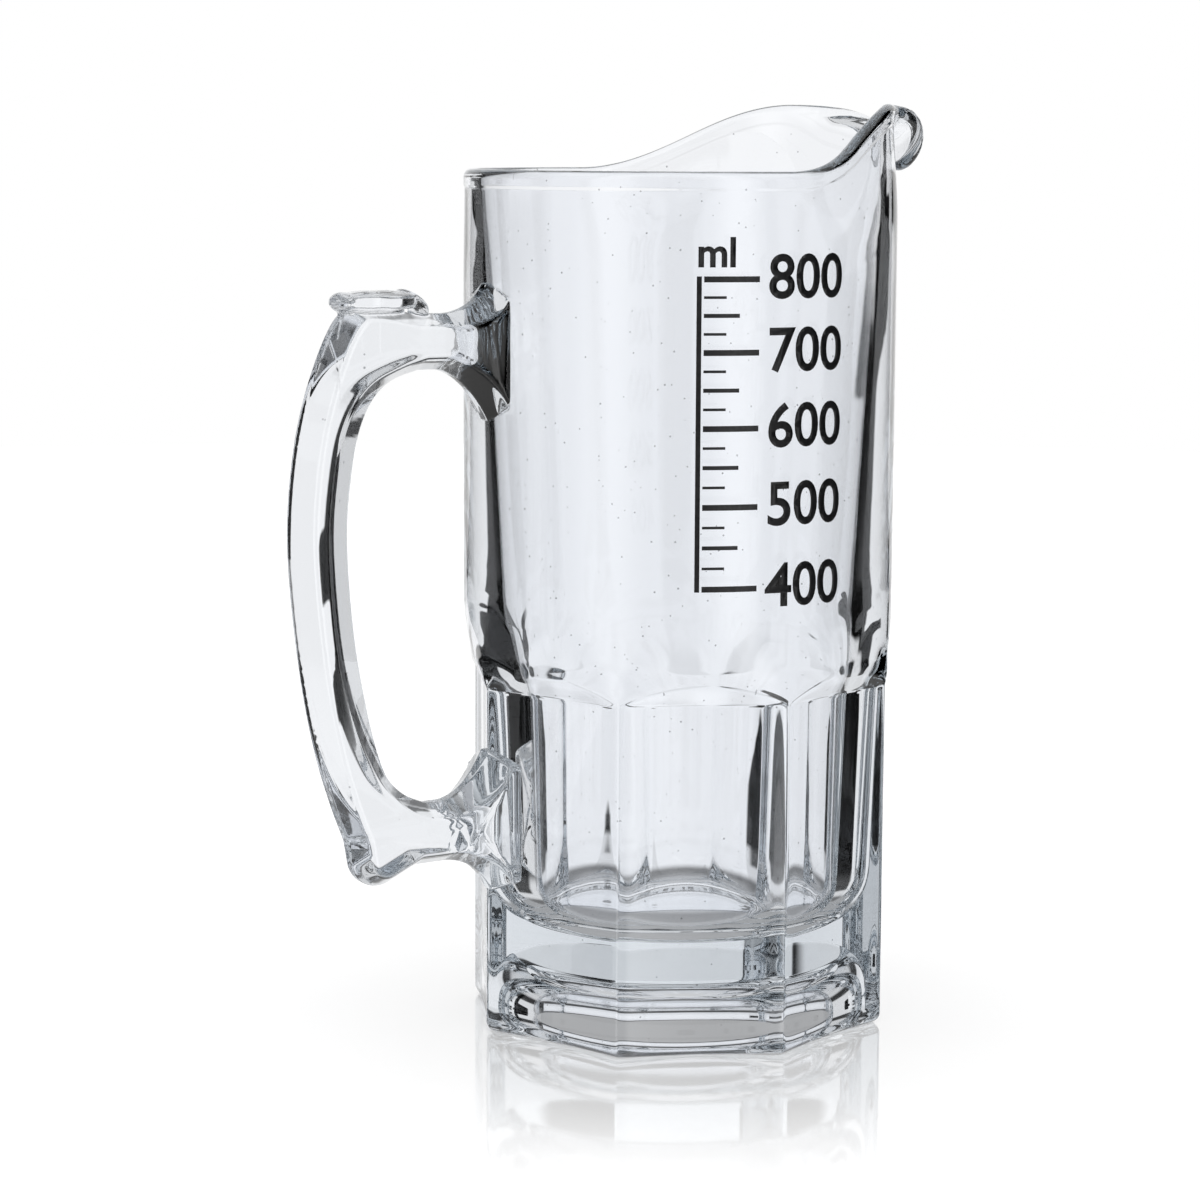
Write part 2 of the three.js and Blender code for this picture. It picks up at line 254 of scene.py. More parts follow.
def vessel_rings():
    """The wall's section from the middle of the underside round the rim to the middle of the inside floor.
    Each ring is a function of the angle that gives its radius and height."""
    rings = []
    half = RIM_WALL / 2
    draft = math.radians(CAVITY_DRAFT_ANGLE)
    corner_top, corner_middle = floor_corner()

    def fixed(r, z):
        rings.append(lambda angle: (np.full_like(angle, r), np.full_like(angle, z)))

    def wall(z, inset=0):
        rings.append(lambda angle: (outer_radius(angle, z) - inset, np.full_like(angle, z)))

    def rim(share, side, past=0):
        rings.append(lambda angle: rim_point(share, side, past, angle))

    for share in np.linspace(0, 1, 7)[:-1]:
        fixed((PUNT_RADIUS - PUNT_CORNER) * share, PUNT_HEIGHT)
    for turn in np.radians(np.linspace(90, 0, 12)):
        fixed(PUNT_RADIUS - PUNT_CORNER * (1 - math.cos(turn)),
              PUNT_HEIGHT - PUNT_CORNER * (1 - math.sin(turn)))
    fixed(PUNT_RADIUS, 0)
    for turn in np.radians(np.linspace(-90, 0, 8)):
        wall(FOOT_ROUNDING * (1 + math.sin(turn)), FOOT_ROUNDING * (1 - math.cos(turn)))
    for z in [*np.linspace(5, FLUTE_CREASE_HEIGHT - 3, 46),
              *np.linspace(FLUTE_CREASE_HEIGHT - 2, FLUTE_END_HEIGHT, 34),
              *np.linspace(FLUTE_END_HEIGHT + 2, RIM_HEIGHT - RIM_ZONE - 1.5, 26)]:
        wall(z)

    # The outside has closer rings than the inside where the handle's upper root lies on it.
    inner = [*np.linspace(0, 0.5, 5), *np.linspace(0.56, 1, 12), *np.linspace(1.04, 2, 25)]
    outer = [*np.linspace(0, 0.7, 24), *(share for share in inner if share > 0.71)]
    for share in outer:
        rim(share, half)
    for nose in np.radians(np.linspace(0, 180, 13)[1:-1]):
        rim(2, half * math.cos(nose), half * math.sin(nose))
    for share in reversed(inner):
        rim(share, -half)

    for z in np.linspace(RIM_HEIGHT - RIM_ZONE - 4, corner_top + 3, 14):
        fixed(inside_radius(z), z)
    for turn in np.linspace(-draft, -math.pi / 2, 12):
        fixed(corner_middle + FLOOR_CORNER_RADIUS * math.cos(turn),
              FLOOR_HEIGHT + FLOOR_CORNER_RADIUS * (1 + math.sin(turn)))
    for share in np.linspace(1, 0, 9)[1:]:
        fixed(corner_middle * share, FLOOR_HEIGHT)
    return rings


# Modelling helpers

def start_fresh():
    """Back to object mode with nothing selected."""
    if bpy.context.object and bpy.context.object.mode != "OBJECT":
        bpy.ops.object.mode_set(mode="OBJECT")
    bpy.ops.object.select_all(action="DESELECT")


def pick(*pieces):
    """Selects these pieces alone. The first is the active one."""
    start_fresh()
    for piece in pieces:
        piece.select_set(True)
    bpy.context.view_layer.objects.active = pieces[0]


def draw_line(name, points):
    """A new object holding one open line, drawn by pulling a vertex along. It is left in edit mode."""
    start_fresh()
    bpy.ops.mesh.primitive_plane_add(size=MM)
    piece = bpy.context.object
    piece.name = piece.data.name = name
    bpy.ops.object.mode_set(mode="EDIT")
    bpy.ops.mesh.select_all(action="SELECT")
    bpy.ops.mesh.merge(type="CENTER")
    bpy.ops.transform.translate(value=points[0])
    for here, there in zip(points, points[1:]):
        step = tuple(b - a for a, b in zip(here, there))
        bpy.ops.mesh.extrude_region_move(TRANSFORM_OT_translate={"value": step})
    return piece


def select_faces(piece, wanted):
    """Selects the faces that pass a test, and leaves the piece in edit mode."""
    bpy.ops.object.mode_set(mode="EDIT")
    bpy.ops.mesh.select_mode(type="FACE")
    bpy.ops.mesh.select_all(action="DESELECT")
    bpy.ops.object.mode_set(mode="OBJECT")
    for face in piece.data.polygons:
        face.select = wanted(face)
    bpy.ops.object.mode_set(mode="EDIT")


def apply_modifier(piece, kind, **settings):
    pick(piece)
    modifier = piece.modifiers.new(kind.title(), kind)
    for key, value in settings.items():
        setattr(modifier, key, value)
    bpy.ops.object.modifier_apply(modifier=modifier.name)


def points_of(piece):
    """All vertices of a piece, in millimetres."""
    flat = np.empty(len(piece.data.vertices) * 3, np.float32)
    piece.data.vertices.foreach_get("co", flat)
    return flat.reshape(-1, 3).astype(float) / MM


def put_points(piece, points):
    piece.data.vertices.foreach_set("co", (points * MM).astype(np.float32).ravel())
    piece.data.update()


def smooth_shading(piece):
    pick(piece)
    bpy.ops.object.shade_smooth()


def ripple(points, size, seed):
    """A gentle unevenness over space, between about -1 and 1."""
    shift = Vector((seed * 17.3, seed * 5.1, seed * 9.7))
    return np.array([noise.noise(Vector(p) / size + shift) for p in points])


# Vessel

def nearest_ring(points, section):
    """Number of the ring that each point of the spun wall belongs to."""
    radius = np.hypot(points[:, 0], points[:, 1])
    drawn = np.array(section)
    ring_of = np.empty(len(points), int)
    batch = 4000
    for start in range(0, len(points), batch):
        part = slice(start, start + batch)
        gap = (radius[part, None] - drawn[:, 0]) ** 2 + (points[part, 2, None] - drawn[:, 1]) ** 2
        ring_of[part] = gap.argmin(axis=1)
    return ring_of


def make_vessel():
    """The section opposite the lip is drawn and spun round. Every vertex then finds its ring again and goes
    where that ring runs at its angle."""
    rings = vessel_rings()
    behind = np.array([180.0])
    section = [tuple(float(v[0]) for v in ring(behind)) for ring in rings]
    vessel = draw_line("vessel_body", [(r * MM, 0, z * MM) for r, z in section])
    bpy.ops.mesh.select_all(action="SELECT")
    bpy.ops.mesh.spin(steps=AROUND, angle=2 * math.pi, center=(0, 0, 0), axis=(0, 0, 1),
                      use_auto_merge=True)
    bpy.ops.mesh.select_all(action="SELECT")
    bpy.ops.mesh.remove_doubles(threshold=1e-7)
    bpy.ops.mesh.normals_make_consistent(inside=False)
    bpy.ops.object.mode_set(mode="OBJECT")

    points = points_of(vessel)
    ring_of = nearest_ring(points, section)
    sector = 2 * math.pi / FLUTE_COUNT
    turn = np.mod(np.arctan2(points[:, 1], points[:, 0]), 2 * math.pi)
    turn -= RIDGE_CROWDING * np.sin(2 * math.pi * turn / sector) * sector / (2 * math.pi)
    from_lip = 180 - np.abs(np.degrees(turn) - 180)
    for number, ring in enumerate(rings):
        here = ring_of == number
        r, z = ring(from_lip[here])
        points[here, 0] = AXIS_X + r * np.cos(turn[here])
        points[here, 1] = r * np.sin(turn[here])
        points[here, 2] = z
    put_points(vessel, points)
    smooth_shading(vessel)
    return vessel


# Handle

def spline(points, count):
    """Evenly spaced points on a smooth run through a few given ones."""
    p = np.array(points, float)
    padded = np.vstack([p[0], p, p[-1]])
    fine = []
    for a, b, c, d in zip(padded, padded[1:], padded[2:], padded[3:]):
        leave, arrive = (c - a) / 2, (d - b) / 2
        for t in np.linspace(0, 1, 30, endpoint=False):
            fine.append((2 * b - 2 * c + leave + arrive) * t ** 3
                        + (-3 * b + 3 * c - 2 * leave - arrive) * t ** 2 + leave * t + b)
    fine = np.array([*fine, p[-1]])
    length = np.concatenate([[0], np.cumsum(np.linalg.norm(np.diff(fine, axis=0), axis=1))])
    at = np.linspace(0, length[-1], count)
    return [(np.interp(s, length, fine[:, 0]), np.interp(s, length, fine[:, 1])) for s in at]


def bow(a, b, c, count):
    """Points on the bend from a to c that b pulls."""
    a, b, c = (np.array(p, float) for p in (a, b, c))
    return [tuple((1 - t) ** 2 * a + 2 * t * (1 - t) * b + t * t * c) for t in np.linspace(0, 1, count)]


def handle_outline():
    """Side view of the handle from the upper root's top, out and down the grip, round the heel and back."""
    wall = -BODY_RADIUS
    hidden = wall + ROOT_DEPTH_IN_WALL
    top = UPPER_ARM_HEIGHT + UPPER_ARM_DEPTH / 2
    under = UPPER_ARM_HEIGHT - UPPER_ARM_DEPTH / 2
    rest = LOWER_ARM_HEIGHT + LOWER_ARM_DEPTH / 2
    below = LOWER_ARM_HEIGHT - LOWER_ARM_DEPTH / 2
    flare = ROOT_FLARE
    outer = -HANDLE_REACH
    inner = outer + GRIP_DEPTH
    mid = GRIP_MIDDLE_HEIGHT
    outer_run = wall - flare * 1.9 - outer
    inner_run = wall - flare * 2.2 - inner
    heel = outer + HEEL_PLACE * outer_run

    def out(across, up, end):
        """A point of the outer edge, by shares of the way to the root and from the middle to an arm."""
        return (outer + across * outer_run, mid + up * (end - mid))

    def inside(across, up, end):
        """The same for the edge on the finger side."""
        return (inner + across * inner_run, mid + up * (end - mid))

    points = [(hidden, top + flare * 1.1)]
    points += bow((wall - 0.5, top + flare * 1.1), (wall - flare * 0.6, top + 0.4),
                  (wall - flare * 1.9, top), 12)
    points += spline([
        out(0.777, 1.006, top), out(0.536, 1.043, top), out(0.375, 1.026, top), out(0.257, 0.91, top),
        out(0.123, 0.64, top), out(0.0375, 0.341, top), (outer, mid), out(0.0214, 0.207, below),
        out(0.0804, 0.44, below), out(0.166, 0.647, below), out(0.263, 0.802, below),
        (heel - 1.125 * HEEL_RADIUS, below + HEEL_RADIUS)], 110)
    centre = below + HEEL_RADIUS - HEEL_DROP
    for turn in np.radians(np.linspace(194, 292, 16)):
        points.append((heel + HEEL_RADIUS * math.cos(turn), centre + HEEL_RADIUS * math.sin(turn)))
    points.append((heel + 1.5 * HEEL_RADIUS, below - 0.2))
    points += bow((wall - flare * 1.8, below), (wall - flare * 0.5, below - 0.6),
                  (wall + 0.3, below - flare * 1.35), 12)
    points += [(hidden, below - flare * 1.35), (hidden, rest + flare * 1.8)]
    points += bow((wall - 0.6, rest + flare * 1.8), (wall - flare * 0.8, rest + flare * 0.25),
                  (wall - flare * 2, rest + 0.1), 12)
    points += spline([
        inside(0.863, 1, rest), inside(0.621, 0.962, rest), inside(0.429, 0.893, rest),
        inside(0.297, 0.772, rest), inside(0.178, 0.598, rest), inside(0.082, 0.409, rest),
        inside(0.018, 0.189, rest), (inner, mid), inside(0.046, 0.319, under), inside(0.128, 0.597, under),
        inside(0.274, 0.806, under), inside(0.493, 0.936, under), inside(0.795, 1, under)], 96)
    points += bow((wall - flare * 2.2, under), (wall - flare * 0.9, under - flare * 0.3),
                  (wall - 0.6, under - flare * 2), 12)
    points.append((hidden, under - flare * 2))
    return points


def broaden_finger_bevel(handle):
    """Draws the bevel out towards the middle of the grip on the side where the fingers go."""
    edge = np.array(handle_outline())
    along = np.roll(edge, -2, axis=0) - np.roll(edge, 2, axis=0)
    normals = np.column_stack([-along[:, 1], along[:, 0]]) / np.linalg.norm(along, axis=1)[:, None]
    gap_middle = np.array([-FINGER_GAP_MIDDLE, (UPPER_ARM_HEIGHT + LOWER_ARM_HEIGHT) / 2])
    points = points_of(handle)
    flat = HANDLE_EDGE_FLAT / 2
    for i in np.flatnonzero(points[:, 1] < -flat - 0.1):
        spot = points[i, [0, 2]] - (AXIS_X, 0)
        closest = ((edge - spot) ** 2).sum(axis=1).argmin()
        inward = normals[closest] * np.sign(normals[closest] @ (spot - edge[closest]))
        if inward @ (edge[closest] - gap_middle) > 0:
            climb = (-points[i, 1] - flat) / (HANDLE_WIDTH / 2 - flat)
            fade = ease((-FINGER_BEVEL_FROM - edge[closest][0]) / FINGER_BEVEL_RUN)
            points[i, [0, 2]] += FINGER_BEVEL_EXTRA * climb * fade * inward
    put_points(handle, points)


def make_bevelled_loop():
    """Half of the loop is pulled out of its side view and bevelled by insets. The other half mirrors it."""
    loop = draw_line("handle_loop", [((x + AXIS_X) * MM, 0, z * MM) for x, z in handle_outline()])
    bpy.ops.mesh.select_all(action="SELECT")
    bpy.ops.mesh.edge_face_add()
    bpy.ops.object.mode_set(mode="OBJECT")
    faces_back = loop.data.polygons[0].normal.y > 0
    bpy.ops.object.mode_set(mode="EDIT")
    bpy.ops.mesh.select_all(action="SELECT")
    if faces_back:
        bpy.ops.mesh.flip_normals()
    flat = HANDLE_EDGE_FLAT / 2
    bpy.ops.mesh.extrude_region_move(TRANSFORM_OT_translate={"value": (0, -flat * MM, 0)})
    swell = HANDLE_WIDTH / 2 - flat
    for inward, outward in BEVEL_STEPS:
        bpy.ops.mesh.inset(thickness=HANDLE_BEVEL * inward * MM, depth=swell * outward * MM)
    bpy.ops.object.mode_set(mode="OBJECT")
    broaden_finger_bevel(loop)
    select_faces(loop, lambda face: face.normal.y > 0.9)
    bpy.ops.mesh.delete(type="ONLY_FACE")
    bpy.ops.object.mode_set(mode="OBJECT")
    apply_modifier(loop, "MIRROR", use_axis=(False, True, False), merge_threshold=1e-6)
    return loop


def add_lump(name, centre, half, turn=0):
    """A rounded lump of glass, pressed flat or drawn out, to be melted into the handle."""
    start_fresh()
    bpy.ops.mesh.primitive_uv_sphere_add(segments=48, ring_count=24, radius=1)
    lump = bpy.context.object
    lump.name = name
    lump.scale = [v * MM for v in half]
    lump.rotation_euler = (0, math.radians(turn), 0)
    lump.location = [v * MM for v in centre]
    bpy.ops.object.transform_apply(location=True, rotation=True, scale=True)
    return lump


def make_thumb_rest():
    """A flat uneven pad with a roll at its outer end and a curl at its inner end."""
    half = np.array([PAD_LENGTH, PAD_WIDTH, PAD_THICKNESS]) / 2
    x = AXIS_X - HANDLE_REACH + PAD_SETBACK + half[0]
    z = UPPER_ARM_HEIGHT + UPPER_ARM_DEPTH / 2 + PAD_STEP - half[2]
    pad = add_lump("thumb_pad", (x, 0, z), half)
    shape = points_of(pad) - (x, 0, z)
    from_edge = np.clip(1 - (shape[:, 0] / half[0]) ** 2 - (shape[:, 1] / half[1]) ** 2, 0, 1)
    shape[:, 2] = np.sign(shape[:, 2]) * half[2] * from_edge ** PAD_SQUARENESS
    shape[:, 2] += PAD_UNEVENNESS * ripple(shape, PAD_RIPPLE_SIZE, 3)
    put_points(pad, shape + (x, 0, z))
    roll = add_lump("pad_roll", (x - half[0] + 2.2, 0, z - 0.3), PAD_ROLL_HALF)
    curl = add_lump("pad_curl", (x + half[0] - 0.6, 0, z - 0.4), PAD_CURL_HALF, PAD_CURL_TURN)
    return pad, roll, curl


def make_handle():
    handle = make_bevelled_loop()
    pick(handle, *make_thumb_rest())
    bpy.ops.object.join()

    # The arms spread where they run into the wall.
    points = points_of(handle)
    out_of_wall = np.maximum(-BODY_RADIUS - (points[:, 0] - AXIS_X), 0)
    points[:, 1] *= 1 + ROOT_WIDENING * np.exp(-((out_of_wall / ROOT_WIDENING_RUN) ** 2))
    points[:, 1] *= np.minimum((AXIS_X - points[:, 0]) / BODY_RADIUS, 1)
    put_points(handle, points)

    # Melted into one body, and laid back on the form it had, so that its faces stay flat.
    pick(handle)
    bpy.ops.object.duplicate()
    form = bpy.context.object
    apply_modifier(handle, "REMESH", mode="VOXEL", voxel_size=GLASS_GRAIN * MM)
    apply_modifier(handle, "SMOOTH", factor=0.5, iterations=4)
    apply_modifier(handle, "SHRINKWRAP", target=form, wrap_method="NEAREST_SURFACEPOINT")
    apply_modifier(handle, "SMOOTH", factor=0.5, iterations=4)
    bpy.data.objects.remove(form)
    smooth_shading(handle)
    return handle


# Weld between vessel and handle

def mark_weld(piece, depth):
    """Notes on every vertex how deep it lies in the other piece, in millimetres."""
    mark = piece.data.attributes.new("weld", "FLOAT", "POINT")
    mark.data.foreach_set("value", np.clip(depth, -WELD_REACH, WELD_REACH).astype(np.float32))


def lies_inside(tree, spot):
    """Counts the skins between a spot and the far side: an odd number means it lies inside."""
    across = Vector((0, 1, 0))
    count = 0
    hit = tree.ray_cast(spot, across)[0]
    while hit:
        count += 1
        hit = tree.ray_cast(hit + across * 0.001, across)[0]
    return count % 2 == 1


def fuse(vessel, handle):
    """Melts the handle's roots to the wall: what reaches into the wall is laid on its outside, and both
    pieces are marked there, so that no skin of glass is left between them."""
    points = points_of(handle)
    tree = BVHTree.FromPolygons(points.tolist(), [list(face.vertices) for face in handle.data.polygons])
    wall = points_of(vessel)
    depth = np.full(len(wall), -float(WELD_REACH))
    x, y = wall[:, 0] - AXIS_X, wall[:, 1]
    outside = np.hypot(x, y) > outer_radius(np.degrees(np.arctan2(y, x)), wall[:, 2]) - 1
    for i in np.flatnonzero(outside & (x < -0.75 * BODY_RADIUS)):
        spot = Vector(wall[i])
        gap = tree.find_nearest(spot)[3]
        depth[i] = gap if lies_inside(tree, spot) else -gap
    mark_weld(vessel, depth)

    x, y = points[:, 0] - AXIS_X, points[:, 1]
    radius = np.hypot(x, y)
    outside = outer_radius(np.degrees(np.arctan2(y, x)), points[:, 2])
    mark_weld(handle, outside - radius)
    push = np.maximum((outside + WELD_GAP) / radius, 1)
    points[:, 0] = AXIS_X + x * push
    points[:, 1] = y * push
    put_points(handle, points)


# Measuring scale

def add_bar(left, right, low, high):
    """A flat bar of print on the drawing board, in millimetres along and up the wall."""
    start_fresh()
    bpy.ops.mesh.primitive_plane_add(size=1)
    bar = bpy.context.object
    bar.scale = ((right - left) * MM, (high - low) * MM, 1)
    bar.location = ((left + right) / 2 * MM, (low + high) / 2 * MM, 0)
    bpy.ops.object.transform_apply(location=True, rotation=True, scale=True)
    return bar


def add_number(words, left, middle, size):
    """A number or a unit on the drawing board, as flat faces."""
    start_fresh()
    bpy.ops.object.text_add()
    number = bpy.context.object
    number.data.body = words
    number.data.size = size * MM
    number.data.resolution_u = 6
    number.data.offset = NUMBER_WEIGHT * MM
    number.data.align_y = "CENTER"
    bpy.ops.object.convert(target="MESH")
    number = bpy.context.object
    number.location = (left * MM, middle * MM, 0)
    bpy.ops.object.transform_apply(location=True, rotation=True, scale=True)
    return number


def draw_scale():
    """The scale's lines and numbers on the drawing board, each at the height to which the drink stands."""
    flat = []
    for millilitres in range(SCALE_FROM, SCALE_TO + 1, SCALE_STEP):
        z = fill_height(millilitres)
        length, line = SHORT_LINE
        if millilitres % 100 == 0:
            length, line = HUNDRED_LINE
        elif millilitres % 50 == 0:
            length, line = FIFTY_LINE
        flat.append(add_bar(SCALE_LEFT, SCALE_LEFT + length, z - line / 2, z + line / 2))
        if millilitres % 100 == 0:
            flat.append(add_number(str(millilitres), SCALE_LEFT + NUMBER_OFFSET, z, NUMBER_SIZE))
    low = fill_height(SCALE_FROM) - HUNDRED_LINE[1] / 2
    high = fill_height(SCALE_TO) + HUNDRED_LINE[1] / 2
    flat.append(add_bar(SCALE_LEFT - SPINE_LEFT, SCALE_LEFT - SPINE_RIGHT, low, high))
    flat.append(add_number("ml", SCALE_LEFT - SPINE_LEFT, fill_height(SCALE_TO) + UNIT_RISE, UNIT_SIZE))
    return flat


def make_measure_print():
    """A plain measuring scale in enamel: drawn flat, cut into strips, thickened and laid on the wall."""
    flat = draw_scale()
    pick(*flat)
    bpy.ops.object.join()
    scale = flat[0]
    scale.name = scale.data.name = "measure_print"
    bpy.ops.object.mode_set(mode="EDIT")
    for along in np.arange(SCALE_LEFT, SCALE_LEFT + SCALE_WIDTH, PRINT_STRIP):
        bpy.ops.mesh.select_all(action="SELECT")
        bpy.ops.mesh.bisect(plane_co=(along * MM, 0, 0), plane_no=(1, 0, 0))
    bpy.ops.object.mode_set(mode="OBJECT")
    apply_modifier(scale, "SOLIDIFY", thickness=PRINT_FILM * MM, offset=1)
    points = points_of(scale)
    turn = math.radians(SCALE_ANGLE) + points[:, 0] / BODY_RADIUS
    radius = BODY_RADIUS + PRINT_GAP + points[:, 2]
    points = np.column_stack([AXIS_X + radius * np.cos(turn), radius * np.sin(turn), points[:, 1]])
    put_points(scale, points)
    return scale


# Materials

GLASS_IOR = 1.52
GLASS_TINT = (0.962, 0.974, 0.998, 1)
GLASS_DEPTH_TINT = (0.36, 0.46, 0.54, 1)
GLASS_DEPTH_DENSITY = 5.0
GLASS_WAVINESS = 0.05
GLASS_HAZE = 0.012
# Seeds are the small bubbles in the glass: cells per metre, core and rim as shares of a cell, and the
# share of cells without one.
VESSEL_SEEDS = 310
HANDLE_SEEDS = 230
SEED_CORE = 0.04
SEED_RIM = 0.095
SEEDLESS = 0.45
SEED_TINT = (0.2, 0.21, 0.22, 1)
SEAM_WIDTH = 0.3
ENAMEL_DARK = (0.006, 0.006, 0.007, 1)
ENAMEL_THIN = (0.016, 0.016, 0.018, 1)
WHITE = (1, 1, 1, 1)


class Wire:
    """A shader socket that adds Math nodes when it is used in an expression."""

    def __init__(self, tree, socket):
        self.tree = tree
        self.socket = socket

    def math(self, operation, *terms):
        node = self.tree.nodes.new("ShaderNodeMath")
        node.operation = operation
        for socket, term in zip(node.inputs, terms):
            connect(self.tree, socket, term)
        return Wire(self.tree, node.outputs[0])

    def __add__(self, other):
        return self.math("ADD", self, other)

    def __sub__(self, other):
        return self.math("SUBTRACT", self, other)

    def __rsub__(self, other):
        return self.math("SUBTRACT", other, self)

    def __mul__(self, other):
        return self.math("MULTIPLY", self, other)

    def __gt__(self, other):
        return self.math("GREATER_THAN", self, other)

    def __abs__(self):
        return self.math("ABSOLUTE", self)

    __radd__ = __add__


def connect(tree, socket, value):
    """Links a wire to a socket, or sets a plain value on it."""
    if isinstance(value, Wire):
        tree.links.new(value.socket, socket)
    else:
        socket.default_value = value


class Shader:
    """The nodes of one material or of the world."""

    def __init__(self, owner):
        owner.use_nodes = True
        self.tree = owner.node_tree
        self.tree.nodes.clear()

    def node(self, kind, settings=None, values=None, output=0):
        made = self.tree.nodes.new("ShaderNode" + kind)
        for key, value in (settings or {}).items():
            setattr(made, key, value)
        for key, value in (values or {}).items():
            connect(self.tree, made.inputs[key], value)
        return Wire(self.tree, made.outputs[output]) if made.outputs else None

    def axes(self, vector):
        return [self.node("SeparateXYZ", values={"Vector": vector}, output=axis) for axis in "XYZ"]

    def smooth(self, value, start, end, low=0.0, high=1.0):
        return self.node("MapRange", {"interpolation_type": "SMOOTHSTEP"}, {
            "Value": value, "From Min": start, "From Max": end, "To Min": low, "To Max": high})

    def larger(self, a, b):
        return self.node("Math", {"operation": "MAXIMUM"}, {0: a, 1: b})

    def mix_colour(self, factor, a, b):
        made = self.tree.nodes.new("ShaderNodeMix")
        made.data_type = "RGBA"
        connect(self.tree, made.inputs["Factor"], factor)
        connect(self.tree, made.inputs[6], a)
        connect(self.tree, made.inputs[7], b)
        return Wire(self.tree, made.outputs[2])

    def rays(self, kind):
        return self.node("LightPath", output=f"Is {kind} Ray")


def clear_glass(name, seeds_per_m, seams=()):
    """Pressed glass: clear, faintly blue-green in the thick, with small seeds and an uneven skin."""
    material = bpy.data.materials.new(name)
    shader = Shader(material)
    place = shader.node("TexCoord", output="Object")
    cells = {"Vector": place, "Scale": seeds_per_m}
    from_seed = shader.node("TexVoronoi", {"feature": "F1"}, cells, "Distance")
    chance = shader.node("TexVoronoi", {"feature": "F1"}, cells, "Color")
    chosen = shader.node("SeparateColor", values={"Color": chance}, output="Red") > SEEDLESS
    seed = (1 - shader.smooth(from_seed, SEED_CORE, SEED_RIM)) * chosen
    colour = shader.mix_colour(seed, GLASS_TINT, SEED_TINT)
    swell = shader.node("TexNoise", values={"Vector": place, "Scale": 60, "Detail": 2}, output="Fac")
    bump = shader.node("Bump", values={"Strength": GLASS_WAVINESS, "Distance": 0.0004, "Height": swell})
    for along, lowest in seams:
        x, _, z = shader.axes(place)
        from_seam = abs(x - (along + AXIS_X) * MM)
        line = shader.smooth(from_seam, 0.0, SEAM_WIDTH * MM, 1.0, 0.0) * (z > lowest * MM)
        bump = shader.node("Bump", values={
            "Strength": 0.35, "Distance": 0.0001, "Height": line, "Normal": bump})
    fine = shader.node("TexNoise", values={"Vector": place, "Scale": 900, "Detail": 3}, output="Fac")
    surface = shader.node("BsdfPrincipled", values={
        "Base Color": colour, "Roughness": shader.smooth(fine, 0.55, 0.8, 0.0, GLASS_HAZE),
        "IOR": GLASS_IOR, "Transmission Weight": 1.0, "Normal": bump})
    welded = shader.node("Attribute", {"attribute_name": "weld"}, output="Fac") > 0.0
    surface = shader.node("MixShader", values={0: welded, 1: surface, 2: shader.node("BsdfTransparent")})
    depth = shader.node("VolumeAbsorption", values={
        "Color": GLASS_DEPTH_TINT, "Density": GLASS_DEPTH_DENSITY})
    shader.node("OutputMaterial", values={"Surface": surface, "Volume": depth})
    return material


def black_enamel(name):
    """Fired enamel: black, half glossy, a little uneven in thickness."""
    material = bpy.data.materials.new(name)
    shader = Shader(material)
    place = shader.node("TexCoord", output="Object")
    grain = shader.node("TexNoise", values={"Vector": place, "Scale": 1400, "Detail": 4}, output="Fac")
    cloud = shader.node("TexNoise", values={"Vector": place, "Scale": 160, "Detail": 2}, output="Fac")
    colour = shader.mix_colour(shader.smooth(cloud, 0.4, 0.75, 0.0, 0.5), ENAMEL_DARK, ENAMEL_THIN)
    bump = shader.node("Bump", values={"Strength": 0.12, "Distance": 0.00004, "Height": grain})
    surface = shader.node("BsdfPrincipled", values={
        "Base Color": colour, "Roughness": shader.smooth(grain, 0.3, 0.7, 0.3, 0.48), "Normal": bump})
    shader.node("OutputMaterial", values={"Surface": surface})
    return material


# Table, in metres from the vessel's axis

TABLE_RADIUS = 1.5
TABLE_DROP = 0.0002
TABLE_COLOUR = (0.8, 0.8, 0.8, 1)
TABLE_GLOW = 0.62
TABLE_SHEEN = 0.5
TABLE_SHEEN_FADE = (0.045, 0.18)
# Painted shade under the foot, seen only through the glass: the level of its grey glow and the radii where
# it fades out.
UNDER_FOOT_PAINTED_SHADE = 0.44
PAINTED_SHADE_EDGE = (0.044, 0.055)


def table_finish():
    """White to the eye, with a sheen round the foot. Through the glass a painted shade shows under its
    foot, an even grey glow that stands in for the table's shadow there, and past that the studio's own
    light."""
    material = bpy.data.materials.new("white_table")
    shader = Shader(material)
    seen = shader.rays("Camera")
    x, y, _ = shader.axes(shader.node("TexCoord", output="Object"))
    x = x - AXIS_X * MM
    away = shader.node("Math", {"operation": "SQRT"}, {0: x * x + y * y})
    lit = shader.node("BsdfDiffuse", values={"Color": TABLE_COLOUR})
    glow = shader.node("Emission", values={"Color": WHITE, "Strength": seen * TABLE_GLOW})
    plain = shader.node("AddShader", values={0: lit, 1: glow})
    mirror = shader.node("BsdfGlossy", values={"Color": WHITE, "Roughness": 0.05})
    sheen = shader.smooth(away, *TABLE_SHEEN_FADE, TABLE_SHEEN, 0.0)
    polished = shader.node("MixShader", values={0: sheen * seen, 1: plain, 2: mirror})
    # Painted shade: a flat grey glow under the foot stands in for the shadow that the glass shows there.
    painted_foot_shade = shader.node("Emission", values={"Color": WHITE, "Strength": UNDER_FOOT_PAINTED_SHADE})
    in_glass = shader.node("MixShader", values={
        0: shader.smooth(away, *PAINTED_SHADE_EDGE), 1: painted_foot_shade, 2: shader.node("BsdfTransparent")})
    by_glass = shader.larger(shader.rays("Transmission"), shader.rays("Glossy"))
    shown = shader.node("MixShader", values={0: by_glass, 1: polished, 2: in_glass})
    shader.node("OutputMaterial", values={"Surface": shown})
    return material


